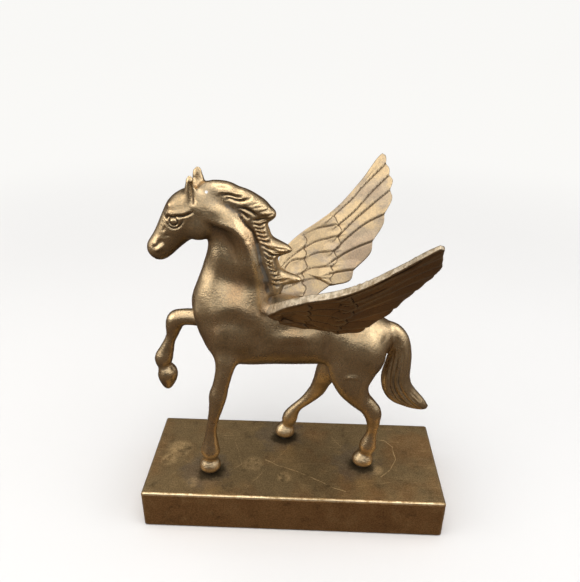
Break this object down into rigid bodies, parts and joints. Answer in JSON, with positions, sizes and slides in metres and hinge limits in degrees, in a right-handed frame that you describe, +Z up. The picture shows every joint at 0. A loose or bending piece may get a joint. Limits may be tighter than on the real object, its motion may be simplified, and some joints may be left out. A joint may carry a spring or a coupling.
{
  "type": "pegasus figurine",
  "caption": "Cast brass figurine of a winged horse walking with one foreleg raised, screwed by its standing hooves to a solid rectangular plinth.",
  "frame": {"origin": "centre of the plinth's underside", "axes": "+Z up, the horse's head towards -X, its near side towards -Y"},
  "size_m": [0.11, 0.0947, 0.129],
  "materials": {
    "plinth_brass": "aged satin brass, olive brown with fine scratches",
    "cast_brass": "satin antique brass casting, darker in the hollows",
    "screw_steel": "plain steel"
  },
  "bodies": {
    "root": {"plinth": "plinth_brass", "horse": "cast_brass", "left_wing": "cast_brass", "right_wing": "cast_brass", "near_fore_hoof_screw": "screw_steel", "near_hind_hoof_screw": "screw_steel", "far_hind_hoof_screw": "screw_steel"}
  },
  "joints": []
}
